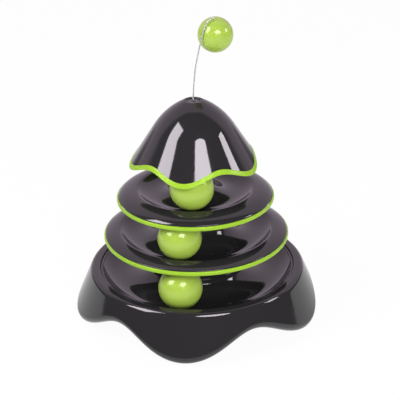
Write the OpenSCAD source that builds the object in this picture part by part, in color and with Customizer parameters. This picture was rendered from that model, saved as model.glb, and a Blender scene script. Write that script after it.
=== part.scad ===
// Ball-track tower toy for a cat: a lobed base with a ball track, two stacked dish tracks with
// coloured rims, a dome with a wavy rim, and a ball on a spring wire that stands on the dome.
// Millimetres. The origin is on the tower's axis at the floor, +Z is up, a foot points to -Y.

/* [Base] */
// Number of feet round the base, and of waves round the dome's rim
lobes = 5; // [3:1:8]
// Radius of the base at its shoulder
shoulder_r = 101.6; // [100.8:0.2:103]
// Radius at which the skirt's slope would meet the floor
foot_r = 119.6; // [116:0.2:122]
// Height of the base's rim
base_rim_z = 45; // [43:0.5:46]
// Height of the arches between the feet
arch_h = 21.3; // [12:0.1:22]
// How far the skirt's lower edge rolls inwards
edge_roll = 8; // [3:0.1:9]

/* [Tracks] */
// Diameter of the three track balls
ball_d = 40; // [36:0.5:41]
// Wall thickness of the moulded tracks and of the dome
wall = 2.4; // [1.8:0.1:2.6]
// Radius of the lower ball's path
lower_track_r = 67.5; // [66:0.5:69]
// Height of the lower trough's floor
lower_trough_z = 33; // [32:0.5:33]
// Radius of the middle ball's path
middle_track_r = 52.5; // [52:0.5:54]
// Height of the middle trough's floor
middle_trough_z = 75; // [75:0.5:76]
// Radius of the upper ball's path
upper_track_r = 36; // [35:0.5:37]
// Height of the upper trough's floor
upper_trough_z = 117; // [117:0.5:118]

/* [Rims] */
// Outer radius of the middle track's coloured rim
middle_rim_r = 86.2; // [83:0.1:88]
// Outer radius of the upper track's coloured rim
upper_rim_r = 72.8; // [70:0.1:75]
// Height of the coloured rim bands on the tracks
rim_h = 4; // [3.6:0.1:5]
// Thickness of the coloured rim bands on the tracks
rim_t = 2.6; // [2.4:0.1:3]

/* [Dome] */
// Radius of the dome's rounded shoulder, seen in section
cap_r = 68; // [60:1:80]
// Height of the rim of the hole in the dome's top
dome_top_z = 208.2; // [207.5:0.1:209]
// Half angle of the dome's cone
cone_half_angle = 32.6; // [32:0.1:33.5]
// Height at which the cone would come to a point
cone_apex_z = 241; // [240:0.1:242]
// Mean height of the dome's wavy rim
dome_rim_z = 153.2; // [152:0.1:157]
// How far the wave rises and falls from that height
wave_h = 4.3; // [3:0.1:5]
// Turn of the dome's waves from the base's feet, in degrees
dome_turn = -3.7; // [-10:0.1:10]
// Height of the dome's coloured rim band
dome_rim_h = 4.3; // [4:0.1:6]

/* [Spring wire] */
// Diameter of the spring wire
wire_d = 1.2; // [0.8:0.1:1.6]
// Diameter of the ball on the wire
top_ball_d = 32; // [30:0.5:33]
// Diameter of the hole in the dome's top
plug_d = 16; // [14:0.5:18]

/* [Balls on their tracks] */
// Where the lower ball stands, in degrees from the front to the right
lower_ball_turn = -6; // [-180:1:180]
// Where the middle ball stands
middle_ball_turn = -9.6; // [-180:0.1:180]
// Where the upper ball stands
upper_ball_turn = 2; // [-180:1:180]

/* [Hidden] */
$fn = 96;
black = "#2b292c";
lime = "#a4d038";
steel = "#b9babd";
rubber = "#1d1d1e";
lobe_pitch = 360 / lobes;
// Play of a pushed-together fit, radial and on its seat, and the slack between a ball and its trough
fit_play = 0.06;
seat_play = 0.02;
ball_slack = 0.3;

// Base shell: a flared skirt whose wavy lower edge rolls inwards, with a collar that holds the track
floor_gap = 0.3;
roll_h = 8;
lobe_broad = -1.2;
shell_wall = 2.8;
edge_t = 2.4;
seam_r = 91.6;
collar_t = 2.4;
collar_bottom = 34.6;
ledge_r = 88.6;
ledge_z = 37;
rim_flat_r = 97;
rim_corner_r = 99.9;
shoulder_z = 41;
seam_break = 0.7;
seam_gap = 0.1;
bead_sink = 0.6;
roll_steps = 6;
steps_per_lobe = 20;

// Tracks: the crest of the ridge outside each trough, the hub inside it, and the stack's seats
lower_ridge = [89, 43];
middle_ridge = [71, 83];
upper_ridge = [53.6, 123];
lower_hub = [44, 70];
middle_hub = [29.5, 112];
upper_hub = [13, 172];
middle_edge_drop = 3.8;
upper_edge_drop = 6.6;
rim_cover = 1.4;
rim_sink = 0.4;
spigot_len = 12;
seat_h = 5;
seat_w = 6.9;
seat_lap = 1;

// Feet: posts under the lower trough, each on a soft pad
pad_r = 7;
pad_h = 2.6;
post_r = 5;
post_top = 42;
post_ring_r = 82;

// Dome and plug
plug_r = plug_d / 2;
boss_r = upper_hub[0] - wall;
boss_bottom = 152;
boss_top = 206;
collar_h = 2.5;
plug_seat = 190;
plug_top = 207.6;
plug_step = 2;
dome_rim_out = 0.2;
dome_rim_in = 1;
dome_edge_cover = 1;
groove_play = 0.05;
wire_play = 0.02;
cut_lift = 0.02;
strip_over = 0.5;
// The shoulder's arc passes the hole's rim and runs into the cone: along is the slant length to that point
cone_out = [cos(cone_half_angle), sin(cone_half_angle)];
cone_down = [sin(cone_half_angle), -cos(cone_half_angle)];
hole_rim = [plug_r, dome_top_z - cone_apex_z];
rim_depth = hole_rim * cone_out + cap_r;
along = hole_rim * cone_down + sqrt(cap_r * cap_r - rim_depth * rim_depth);
cap_centre = [0, cone_apex_z] - cap_r * cone_out + along * cone_down;
cap_join_z = cone_apex_z + along * cone_down[1];
cap_end_angle = acos((plug_r - cap_centre[0]) / cap_r);

// Wire: its straight foot, two bending points, and the points that its upper stretch follows
wire_r = wire_d / 2;
wire_root = [0, 0, 194];
bend_low = [0, 0, 216];
bend_high = [2.2, 0.3, 236];
bend_gap = 0.05;
top_ball = [19.2, 14.7, 264.5];
tip_dir = [-0.04, -0.34, 0.94] / norm([-0.04, -0.34, 0.94]);
tip_out = 17.2;
tip_in = 8.5;
tip_start = top_ball + tip_out * tip_dir;
wire_points = [[4.4, 0.6, 248], [7.1, 1, 260], [9.6, 1.4, 269.5], [11.5, 2.9, 275], [13.3, 5.2, 278.8],
               [15.5, 7.2, 280.9], [17.3, 8.3, 281.6]];
lead_in = 12;
lead_out = 3;
side_hint = [0.8, -0.6, 0];
wire_sides = 8;
wire_steps = 4;
bead_r = 1.6;
bead_len = 3.5;

// Ball shells
ball_wall = 1.8;
top_ball_wall = 1.6;
tongue_h = 3;
tongue_t = 1.3;
tongue_play = 0.1;
seam_tilts = [[62, 20], [75, -35], [80, 5]];

// Sector of a flat ring between two angles
module ring_sector(centre, r_in, r_out, from, to) {
    reach = 2 * r_out;
    wedge = [for (i = [0:4]) reach * [cos(from + (to - from) * i / 4), sin(from + (to - from) * i / 4)]];
    translate(centre)
        intersection() {
            difference() {
                circle(r_out);
                circle(r_in);
            }
            polygon(concat([[0, 0]], wedge));
        }
}

// Radius of an arc that leaves a level line and ends run away and rise higher
function arc_radius(run, rise) = (run * run + rise * rise) / (2 * rise);

// Section of a trough from its ridge in to its hub, with the hub's wall
module trough_section(track_r, trough_z, ridge, hub) {
    r = arc_radius(ridge[0] - track_r, ridge[1] - trough_z);
    out = asin((ridge[0] - track_r) / r);
    inner = asin((track_r - hub[0]) / r);
    meet_z = trough_z + r - (r + wall) * cos(inner);
    ring_sector([track_r, trough_z + r], r, r + wall, -90 - inner, -90 + out);
    translate([hub[0] - wall, meet_z])
        square([wall, hub[1] - meet_z]);
}

// Section of the flange that falls outwards from a ridge to the rim, extra is added to its sides and end
module flange_section(ridge, edge_r, drop, extra = 0) {
    r = arc_radius(edge_r - ridge[0], drop);
    over = extra / r * 180 / PI;
    from = 90 - asin((edge_r - ridge[0]) / r) - over;
    ring_sector([ridge[0], ridge[1] - r], r - wall - extra, r + extra, from, 90);
}

// Section of the ring that sits on the hub below, and of the spigot that goes into it
module seat_section(below) {
    bore = below[0] - wall;
    translate([bore - wall - seat_lap, below[1] + seat_play])
        square([seat_w, seat_h]);
    translate([bore - wall - fit_play, below[1] - spigot_len])
        square([wall, spigot_len + seat_lap]);
}

module track_section(track_r, trough_z, ridge, hub, edge_r, drop, below) {
    trough_section(track_r, trough_z, ridge, hub);
    flange_section(ridge, edge_r, drop);
    trough_r = arc_radius(ridge[0] - track_r, ridge[1] - trough_z);
    difference() {
        seat_section(below);
        translate([track_r, trough_z + trough_r])
            circle(trough_r + wall / 2);
    }
}

// Upright band with round edges, a little below a flange's top edge and hooked under it
module rim_band(ridge, rim_r, drop) {
    edge_r = rim_r - rim_cover;
    band_z = ridge[1] - drop - rim_sink - rim_h / 2;
    rotate_extrude()
        difference() {
            union() {
                translate([rim_r - rim_t, band_z - rim_h / 2 + rim_t / 2])
                    square([rim_t, rim_h - rim_t]);
                for (side = [-1, 1])
                    translate([rim_r - rim_t / 2, band_z + side * (rim_h - rim_t) / 2])
                        circle(rim_t / 2);
            }
            flange_section(ridge, edge_r, drop, groove_play);
        }
}

// Points on the base shell's section at an angle from the front, as radius and height
function wave(a) = (1 - cos(a)) / 2;
function skirt_at(z) = foot_r + (shoulder_r - foot_r) * z / shoulder_z;
function edge_z(a) = floor_gap + arch_h * wave(lobes * a) + lobe_broad * wave(2 * lobes * a);
function curve3(a, b, c, t) = (1 - t) * (1 - t) * a + 2 * t * (1 - t) * b + t * t * c;
function shell_section(a) =
    let (low = edge_z(a),
         turn_z = low + roll_h,
         turn_r = skirt_at(turn_z),
         corner = [rim_corner_r, base_rim_z],
         inner_top = shoulder_z - edge_t)
    concat(
        [[seam_r, base_rim_z - seam_break], [seam_r + seam_break, base_rim_z]],
        [for (i = [0:4]) curve3([rim_flat_r, base_rim_z], corner, [shoulder_r, shoulder_z], i / 4)],
        [for (i = [0:roll_steps]) let (b = 90 * i / roll_steps)
            [turn_r - edge_roll * (1 - cos(b)), turn_z - roll_h * sin(b)]],
        [for (i = [roll_steps:-2:0]) let (b = 90 * i / roll_steps)
            [turn_r - shell_wall - (edge_roll - shell_wall) * (1 - cos(b)),
             turn_z - (roll_h - edge_t) * sin(b)]],
        [[skirt_at(inner_top) - shell_wall, inner_top], [seam_r + collar_t, base_rim_z - edge_t],
         [seam_r + collar_t, collar_bottom], [ledge_r, collar_bottom], [ledge_r, ledge_z],
         [seam_r, ledge_z]]);

// Closed ring whose section is given at every step round the axis
module swept_ring(sections) {
    steps = len(sections);
    count = len(sections[0]);
    points = [for (i = [0:steps - 1]) for (p = sections[i])
        [p[0] * sin(360 * i / steps), -p[0] * cos(360 * i / steps), p[1]]];
    faces = [for (i = [0:steps - 1]) for (j = [0:count - 1])
        let (a = i * count + j, b = i * count + (j + 1) % count,
             c = ((i + 1) % steps) * count + (j + 1) % count, d = ((i + 1) % steps) * count + j)
        each [[a, b, c], [a, c, d]]];
    polyhedron(points, faces);
}

module base_shell() {
    color(black)
        swept_ring([for (i = [0:lobes * steps_per_lobe - 1]) shell_section(i * lobe_pitch / steps_per_lobe)]);
}

module base_track() {
    bead_w = seam_r - seam_gap - lower_ridge[0];
    trough_r = arc_radius(lower_ridge[0] - lower_track_r, lower_ridge[1] - lower_trough_z);
    color(black) {
        rotate_extrude() {
            trough_section(lower_track_r, lower_trough_z, lower_ridge, lower_hub);
            translate([lower_ridge[0], ledge_z])
                square([bead_w, lower_ridge[1] - ledge_z - bead_sink]);
            translate([lower_ridge[0] + bead_w / 2, lower_ridge[1] - bead_sink])
                circle(bead_w / 2);
        }
        difference() {
            for (i = [0:lobes - 1])
                rotate([0, 0, i * lobe_pitch])
                    translate([0, -post_ring_r, pad_h])
                        cylinder(h = post_top - pad_h, r = post_r);
            rotate_extrude()
                translate([lower_track_r, lower_trough_z + trough_r])
                    circle(trough_r + wall / 2);
        }
    }
}

module foot_pads() {
    chamfer = 0.6;
    color(rubber)
        for (i = [0:lobes - 1])
            rotate([0, 0, i * lobe_pitch])
                translate([0, -post_ring_r, 0]) {
                    cylinder(h = chamfer, r1 = pad_r - chamfer, r2 = pad_r);
                    translate([0, 0, chamfer])
                        cylinder(h = pad_h - chamfer, r = pad_r);
                }
}

module middle_track() {
    color(black)
        rotate_extrude()
            track_section(middle_track_r, middle_trough_z, middle_ridge, middle_hub,
                          middle_rim_r - rim_cover, middle_edge_drop, lower_hub);
}

module middle_rim() {
    color(lime)
        rim_band(middle_ridge, middle_rim_r, middle_edge_drop);
}

module upper_track() {
    color(black)
        rotate_extrude()
            track_section(upper_track_r, upper_trough_z, upper_ridge, upper_hub,
                          upper_rim_r - rim_cover, upper_edge_drop, middle_hub);
}

module upper_rim() {
    color(lime)
        rim_band(upper_ridge, upper_rim_r, upper_edge_drop);
}

// Radius of the dome's cone at a height
function cone_at(z) = (cone_apex_z - z) * tan(cone_half_angle);

// Strip of the cone, out and in are measured square to the dome's outer face
module cone_strip(out, inner, from, to) {
    tilt = cos(cone_half_angle);
    polygon([[cone_at(from) + out / tilt, from], [cone_at(to) + out / tilt, to],
             [cone_at(to) - inner / tilt, to], [cone_at(from) - inner / tilt, from]]);
}

// Everything under, or over, the dome's wave moved up by shift: one cutter for each arch of the wave
module wave_cutter(shift, over) {
    half = cone_at(dome_rim_z - wave_h - dome_rim_h) * sin(lobe_pitch / 2);
    r = (half * half + 4 * wave_h * wave_h) / (8 * wave_h);
    mid = dome_rim_z + shift;
    depth = 40;
    far = 80;
    for (i = [0:lobes - 1])
        rotate([90, 0, dome_turn + (i + 0.5) * lobe_pitch])
            linear_extrude(far)
                if (over) {
                    difference() {
                        translate([-half, mid])
                            square([2 * half, depth]);
                        translate([0, mid + wave_h - r])
                            circle(r);
                    }
                    intersection() {
                        for (side = [-1, 1])
                            translate([side * half, mid - wave_h + r])
                                circle(r);
                        translate([-half, mid - depth])
                            square([2 * half, depth]);
                    }
                } else {
                    difference() {
                        translate([-half, mid - depth])
                            square([2 * half, depth]);
                        for (side = [-1, 1])
                            translate([side * half, mid - wave_h + r])
                                circle(r);
                    }
                    intersection() {
                        translate([0, mid + wave_h - r])
                            circle(r);
                        translate([-half, mid])
                            square([2 * half, depth]);
                    }
                }
}

// The dome's wall down to its wavy edge, extra is added to both its sides
module dome_wall(extra, edge_shift) {
    difference() {
        rotate_extrude()
            cone_strip(extra, wall + extra, dome_rim_z - wave_h + edge_shift + cut_lift, cap_join_z);
        wave_cutter(edge_shift, false);
    }
}

module dome_cap() {
    color(black) {
        dome_wall(0, -dome_edge_cover);
        rotate_extrude() {
            difference() {
                ring_sector(cap_centre, cap_r - wall, cap_r, cone_half_angle, cap_end_angle);
                square([plug_r, dome_top_z]);
            }
            translate([plug_r, plug_seat])
                square([boss_r - plug_r, boss_top - plug_seat]);
            translate([plug_r - plug_step, boss_bottom])
                square([boss_r - fit_play - plug_r + plug_step, plug_seat - boss_bottom]);
            translate([boss_r - seat_lap, upper_hub[1] + seat_play])
                square([wall + seat_lap, collar_h]);
        }
    }
}

module dome_rim() {
    low = dome_rim_z - wave_h - dome_rim_h / 2 + cut_lift;
    high = dome_rim_z + wave_h + dome_rim_h / 2 + strip_over;
    color(lime)
        difference() {
            rotate_extrude()
                cone_strip(dome_rim_out, wall + dome_rim_in, low, high);
            wave_cutter(-dome_rim_h / 2, false);
            wave_cutter(dome_rim_h / 2, true);
            dome_wall(groove_play, -dome_edge_cover - groove_play);
        }
}

module wire_plug() {
    color(black)
        difference() {
            translate([0, 0, plug_seat])
                cylinder(h = plug_top - plug_seat, r = plug_r - groove_play);
            translate([0, 0, wire_root[2]])
                cylinder(h = plug_top, r = wire_r + wire_play);
        }
}

// Turns a shape's +Z from one point towards another
module aimed(from, to) {
    d = to - from;
    translate(from)
        rotate([0, acos(d[2] / norm(d)), atan2(d[1], d[0])])
            children();
}

// Straight round bar between two points
module bar(from, to, r) {
    aimed(from, to)
        cylinder(h = norm(to - from), r = r);
}

// Straight round bar with a dome on its far end, whose centre is the second point
module domed_bar(from, to, r) {
    length = norm(to - from);
    aimed(from, to)
        rotate_extrude() {
            square([r, length]);
            intersection() {
                translate([0, length])
                    circle(r);
                translate([0, length])
                    square(r);
            }
        }
}

module wire_foot() {
    color(steel)
        domed_bar(wire_root, bend_low, wire_r);
}

module wire_lower() {
    dir = (bend_high - bend_low) / norm(bend_high - bend_low);
    color(steel)
        domed_bar(bend_low + (wire_r + bend_gap) * dir, bend_high, wire_r);
}

// Smooth path through points: a curve that passes each of them, with steps between each two
function spline(a, b, c, d, t) =
    ((2 * b) + (c - a) * t + (2 * a - 5 * b + 4 * c - d) * t * t + (3 * b - a - 3 * c + d) * t * t * t) / 2;
function smooth_path(p, steps) =
    concat([for (i = [1:len(p) - 3])
                for (s = [0:steps - 1])
                    spline(p[i - 1], p[i], p[i + 1], p[i + 2], s / steps)],
           [p[len(p) - 2]]);

// Round tube along a path, closed at both ends, the far one square to the last direction
module swept_tube(path, last_dir, r, sides) {
    count = len(path);
    dirs = [for (i = [0:count - 1])
        let (d = i < count - 1 ? path[i + 1] - path[max(i - 1, 0)] : last_dir) d / norm(d)];
    side_dirs = [for (d = dirs) let (s = cross(d, side_hint)) s / norm(s)];
    points = [for (i = [0:count - 1]) for (k = [0:sides - 1]) let (a = 360 * k / sides)
        path[i] + r * (cos(a) * side_dirs[i] + sin(a) * cross(dirs[i], side_dirs[i]))];
    walls = [for (i = [0:count - 2]) for (k = [0:sides - 1])
        let (a = i * sides + k, b = i * sides + (k + 1) % sides)
        each [[a, b + sides, b], [a, a + sides, b + sides]]];
    first = [for (k = [1:sides - 2]) [0, k, k + 1]];
    end = (count - 1) * sides;
    last = [for (k = [1:sides - 2]) [end, end + k + 1, end + k]];
    polyhedron(points, concat(walls, first, last));
}

module wire_upper() {
    dir = (wire_points[0] - bend_high) / norm(wire_points[0] - bend_high);
    start = bend_high + (wire_r + bend_gap) * dir;
    lead = [tip_start, tip_start - lead_out * tip_dir];
    route = concat([bend_high - lead_in * dir, start], wire_points, lead);
    color(steel)
        swept_tube(smooth_path(route, wire_steps), -tip_dir, wire_r, wire_sides);
}

module wire_tip() {
    color(steel)
        bar(tip_start - bend_gap * tip_dir, top_ball + tip_in * tip_dir, wire_r);
}

module wire_stop_bead() {
    color(steel)
        difference() {
            bar(top_ball + (tip_in + bead_len) * tip_dir, top_ball + tip_in * tip_dir, bead_r);
            bar(tip_start, top_ball, wire_r + wire_play);
        }
}

// Upper half of a hollow ball, and the lower half with the tongue that centres it
module ball_half(r, t) {
    rotate_extrude()
        ring_sector([0, 0], r - t, r, 0, 90);
}

module ball_half_with_tongue(r, t) {
    tongue_r = sqrt((r - t) * (r - t) - tongue_h * tongue_h) - tongue_play;
    rotate_extrude() {
        ring_sector([0, 0], r - t, r, -90, 0);
        polygon([[tongue_r - tongue_t, -tongue_h], [r - t / 2, -tongue_h], [r - t / 2, 0], [tongue_r, 0],
                 [tongue_r, tongue_h], [tongue_r - tongue_t, tongue_h]]);
    }
}

// Puts a ball where it stands on its track, with its seam tilted
module on_track(track_r, trough_z, turn, tilt) {
    rotate([0, 0, turn])
        translate([0, -track_r, trough_z + ball_d / 2 + ball_slack])
            rotate([tilt[0], 0, tilt[1]])
                children();
}

// Turns a shape's +Z to the wire's tip and puts it at the top ball's centre
module on_tip() {
    translate(top_ball)
        rotate([0, acos(tip_dir[2]), atan2(tip_dir[1], tip_dir[0])])
            children();
}

module top_ball_upper_half() {
    color(lime)
        on_tip()
            difference() {
                ball_half(top_ball_d / 2, top_ball_wall);
                cylinder(h = top_ball_d, r = wire_r + fit_play);
            }
}

module top_ball_lower_half() {
    color(lime)
        on_tip()
            ball_half_with_tongue(top_ball_d / 2, top_ball_wall);
}

module lower_ball_half_a() {
    color(lime)
        on_track(lower_track_r, lower_trough_z, lower_ball_turn, seam_tilts[0])
            ball_half(ball_d / 2, ball_wall);
}

module lower_ball_half_b() {
    color(lime)
        on_track(lower_track_r, lower_trough_z, lower_ball_turn, seam_tilts[0])
            ball_half_with_tongue(ball_d / 2, ball_wall);
}

module middle_ball_half_a() {
    color(lime)
        on_track(middle_track_r, middle_trough_z, middle_ball_turn, seam_tilts[1])
            ball_half(ball_d / 2, ball_wall);
}

module middle_ball_half_b() {
    color(lime)
        on_track(middle_track_r, middle_trough_z, middle_ball_turn, seam_tilts[1])
            ball_half_with_tongue(ball_d / 2, ball_wall);
}

module upper_ball_half_a() {
    color(lime)
        on_track(upper_track_r, upper_trough_z, upper_ball_turn, seam_tilts[2])
            ball_half(ball_d / 2, ball_wall);
}

module upper_ball_half_b() {
    color(lime)
        on_track(upper_track_r, upper_trough_z, upper_ball_turn, seam_tilts[2])
            ball_half_with_tongue(ball_d / 2, ball_wall);
}

base_shell();
base_track();
foot_pads();
middle_track();
middle_rim();
upper_track();
upper_rim();
dome_cap();
dome_rim();
wire_plug();
wire_foot();
wire_lower();
wire_upper();
wire_tip();
wire_stop_bead();
top_ball_upper_half();
top_ball_lower_half();
lower_ball_half_a();
lower_ball_half_b();
middle_ball_half_a();
middle_ball_half_b();
upper_ball_half_a();
upper_ball_half_b();
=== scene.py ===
# %% [markdown]
# # A ball-track tower for a cat, dressed for its portrait
# The toy is a stack of glossy black mouldings: a lobed base, two dishes with lime rims, and a dome.
# A lime ball runs in each track and a smaller one sways on a spring wire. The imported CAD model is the
# frame: it fixes every size and every moving body, and this script gives each piece its finished skin.

# %% Load the frame
import math

import bpy
from mathutils import Matrix, Vector


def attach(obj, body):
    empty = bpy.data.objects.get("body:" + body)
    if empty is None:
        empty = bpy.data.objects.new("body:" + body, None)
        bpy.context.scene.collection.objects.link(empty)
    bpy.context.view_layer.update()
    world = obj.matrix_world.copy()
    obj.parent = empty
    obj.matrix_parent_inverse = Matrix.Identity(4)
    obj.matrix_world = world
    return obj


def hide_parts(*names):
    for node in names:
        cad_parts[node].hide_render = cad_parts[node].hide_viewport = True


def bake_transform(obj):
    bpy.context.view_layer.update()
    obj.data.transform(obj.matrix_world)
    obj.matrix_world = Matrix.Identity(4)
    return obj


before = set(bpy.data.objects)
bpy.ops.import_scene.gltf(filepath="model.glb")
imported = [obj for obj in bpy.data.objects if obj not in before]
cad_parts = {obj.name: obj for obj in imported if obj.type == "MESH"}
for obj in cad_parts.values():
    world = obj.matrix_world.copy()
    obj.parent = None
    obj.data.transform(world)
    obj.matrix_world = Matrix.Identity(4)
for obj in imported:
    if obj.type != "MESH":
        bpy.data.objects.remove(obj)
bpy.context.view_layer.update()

MM = 0.001

# %% [markdown]
# ## The camera
# The photograph looks down on the toy with a long lens. Its rims and axis were measured in the picture,
# and the view that puts them all in place has a field of about 18 degrees, a pitch of 25 degrees and a
# slight roll. The camera is built from those angles, so that the lens needs no shift.

# %% Place the camera
CAMERA_TURN = math.radians(7.1)
CAMERA_REACH = 1053.6
CAMERA_HEIGHT = 597.1
YAW = math.radians(0.225)
PITCH = math.radians(24.855)
ROLL = math.radians(-1.2)
HALF_PICTURE, FOCAL_LENGTH = 200, 1250
FIELD = 2 * math.atan(HALF_PICTURE / FOCAL_LENGTH)


def camera_matrix():
    """Matrix of a camera that looks along the photograph's line of sight."""
    look = Vector((math.sin(YAW) * math.cos(PITCH), math.cos(YAW) * math.cos(PITCH), -math.sin(PITCH)))
    right = look.cross(Vector((0, 0, 1))).normalized()
    up = right.cross(look)
    tilted_right = math.cos(ROLL) * right + math.sin(ROLL) * up
    tilted_up = math.cos(ROLL) * up - math.sin(ROLL) * right
    view = Matrix((tilted_right, tilted_up, -look)).transposed().to_4x4()
    place = Matrix.Translation((0, -CAMERA_REACH * MM, CAMERA_HEIGHT * MM))
    return Matrix.Rotation(CAMERA_TURN, 4, "Z") @ place @ view


camera = bpy.data.objects.new("photo_camera", bpy.data.cameras.new("photo_camera"))
bpy.context.collection.objects.link(camera)
camera.data.lens_unit = "FOV"
camera.data.angle = FIELD
camera.matrix_world = camera_matrix()
bpy.context.scene.camera = camera
print("camera at", [round(v, 3) for v in camera.location], "field", round(math.degrees(FIELD), 2))

# %% [markdown]
# ## Wiring helpers
# Node trees are easier to read when one line makes a node, sets it and wires it. These helpers do that
# for Geometry Nodes and shaders alike: a value is written on its socket, and a socket is linked.

# %% Node helpers


def node(tree, kind, feeds=None, **settings):
    """Adds a node, sets its properties, and feeds its inputs with values or links."""
    made = tree.nodes.new(kind)
    for name, value in settings.items():
        setattr(made, name, value)
    for socket, value in (feeds or {}).items():
        if isinstance(value, bpy.types.NodeSocket):
            tree.links.new(value, made.inputs[socket])
        else:
            made.inputs[socket].default_value = value
    return made


def sum_up(tree, operation, *values):
    """One Math node, given by its operation and its values or sockets."""
    return node(tree, "ShaderNodeMath", dict(enumerate(values)), operation=operation).outputs[0]


def two_tone(tree, share, deep, pale):
    """A colour between two others, by a share."""
    return node(tree, "ShaderNodeMix", {0: share, 6: deep, 7: pale}, data_type="RGBA").outputs[2]


def new_tree(name, kind, inputs, outputs):
    """An empty node group with named sockets, and its input and output nodes."""
    tree = bpy.data.node_groups.new(name, kind)
    for label, socket in inputs:
        tree.interface.new_socket(name=label, in_out="INPUT", socket_type=socket)
    for label, socket in outputs:
        tree.interface.new_socket(name=label, in_out="OUTPUT", socket_type=socket)
    return tree, tree.nodes.new("NodeGroupInput").outputs, tree.nodes.new("NodeGroupOutput").inputs


print("helpers ready")

# %% [markdown]
# ## Moulded plastic
# Every moulding comes out of a polished tool. Up close its skin has a faint waviness that bends the
# reflections, and handling leaves soft patches that shine a little less. Black and lime plastic share
# that skin, so it is one group, placed in each material with its own sizes and strengths.

# %% Skin group


def moulded_skin():
    """Group that gives the roughness and the height of a moulded, handled plastic skin."""
    tree, given, out = new_tree(
        "moulded_skin", "ShaderNodeTree",
        [("Vector", "NodeSocketVector"), ("Wave Scale", "NodeSocketFloat"),
         ("Patch Scale", "NodeSocketFloat"), ("Shiny", "NodeSocketFloat"), ("Handled", "NodeSocketFloat")],
        [("Roughness", "NodeSocketFloat"), ("Height", "NodeSocketFloat")])
    wavy = node(tree, "ShaderNodeTexNoise", {"Vector": given["Vector"], "Scale": given["Wave Scale"],
                                             "Detail": 1.5})
    patch = node(tree, "ShaderNodeTexNoise", {"Vector": given["Vector"], "Scale": given["Patch Scale"],
                                              "Detail": 4.0, "Distortion": 0.6})
    worn = node(tree, "ShaderNodeMapRange", {"Value": patch.outputs[0], "From Min": 0.42, "From Max": 0.72,
                                             "To Min": given["Shiny"], "To Max": given["Handled"]})
    tree.links.new(worn.outputs[0], out["Roughness"])
    tree.links.new(wavy.outputs[0], out["Height"])
    return tree


def pigment():
    """Group that drifts softly between two colours, as pigment does in a moulding."""
    tree, given, out = new_tree(
        "pigment", "ShaderNodeTree",
        [("Vector", "NodeSocketVector"), ("Scale", "NodeSocketFloat"),
         ("Deep", "NodeSocketColor"), ("Pale", "NodeSocketColor")],
        [("Color", "NodeSocketColor")])
    cloud = node(tree, "ShaderNodeTexNoise", {"Vector": given["Vector"], "Scale": given["Scale"],
                                              "Detail": 3.0})
    tree.links.new(two_tone(tree, cloud.outputs[0], given["Deep"], given["Pale"]), out["Color"])
    return tree


SKIN = moulded_skin()
PIGMENT = pigment()
print("groups:", SKIN.name, PIGMENT.name)

# %% [markdown]
# ## Black and lime
# The toy has one black and two limes: the balls shine more than the rims. Each material could be built by
# hand, but they differ only in numbers, so one function places the two groups and sets them. Waves and
# patches have the same size on every piece, because a tool is polished and a toy is handled in one way.

# %% Plastics
WAVE_SCALE, PATCH_SCALE, CLOUD_SCALE, WAVE_DEPTH = 160.0, 24.0, 14.0, 0.0004


def shader(name):
    """A new material, its node tree, its Principled shader and its object coordinates."""
    made = bpy.data.materials.new(name)
    made.use_nodes = True
    tree = made.node_tree
    return made, tree, tree.nodes["Principled BSDF"], node(tree, "ShaderNodeTexCoord").outputs["Object"]


def moulded(name, deep, pale, shiny, handled, bump, specular=0.5):
    """Glossy moulded plastic between two shades, with the shared skin."""
    made, tree, surface, place = shader(name)
    skin = node(tree, "ShaderNodeGroup", node_tree=SKIN)
    sizes = (("Wave Scale", WAVE_SCALE), ("Patch Scale", PATCH_SCALE), ("Shiny", shiny), ("Handled", handled))
    for socket, value in sizes:
        skin.inputs[socket].default_value = value
    tree.links.new(place, skin.inputs["Vector"])
    tint = node(tree, "ShaderNodeGroup", node_tree=PIGMENT)
    tree.links.new(place, tint.inputs["Vector"])
    tint.inputs["Scale"].default_value = CLOUD_SCALE
    tint.inputs["Deep"].default_value = (*deep, 1)
    tint.inputs["Pale"].default_value = (*pale, 1)
    relief = node(tree, "ShaderNodeBump", {"Height": skin.outputs["Height"], "Strength": bump,
                                           "Distance": WAVE_DEPTH})
    tree.links.new(tint.outputs[0], surface.inputs["Base Color"])
    tree.links.new(skin.outputs["Roughness"], surface.inputs["Roughness"])
    tree.links.new(relief.outputs[0], surface.inputs["Normal"])
    surface.inputs["Specular IOR Level"].default_value = specular
    return made


BLACK = moulded("black_plastic", (0.0195, 0.0185, 0.0197), (0.0225, 0.0215, 0.0228), 0.05, 0.10, 0.04, 0.48)
LIME_BALL = moulded("lime_ball", (0.330, 0.485, 0.060), (0.370, 0.520, 0.078), 0.20, 0.27, 0.02)
LIME_BAND = moulded("lime_band", (0.272, 0.482, 0.022), (0.306, 0.518, 0.034), 0.34, 0.46, 0.04, 0.30)
print("plastics:", [m.name for m in (BLACK, LIME_BALL, LIME_BAND)])

# %% [markdown]
# ## Wire and pads
# Spring wire is pulled through a die, which leaves fine lines along it, and a zinc coating dulls it. A noise
# that is stretched along the wire gives those lines. The pads are matt rubber, and a very fine noise gives
# their grain in colour and in height.

# %% Steel and rubber


def drawn_steel():
    """Zinc-coated spring wire with the fine lines that the drawing die leaves along it."""
    made, tree, surface, place = shader("drawn_steel")
    stretched = node(tree, "ShaderNodeMapping", {"Vector": place, "Scale": (3000.0, 3000.0, 60.0)})
    lines = node(tree, "ShaderNodeTexNoise", {"Vector": stretched.outputs[0], "Scale": 1.0, "Detail": 2.0})
    worn = node(tree, "ShaderNodeMapRange", {"Value": lines.outputs[0], "To Min": 0.50, "To Max": 0.66})
    shade = two_tone(tree, lines.outputs[0], (0.40, 0.40, 0.41, 1), (0.52, 0.52, 0.53, 1))
    tree.links.new(shade, surface.inputs["Base Color"])
    tree.links.new(worn.outputs[0], surface.inputs["Roughness"])
    surface.inputs["Metallic"].default_value = 0.5
    return made


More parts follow.
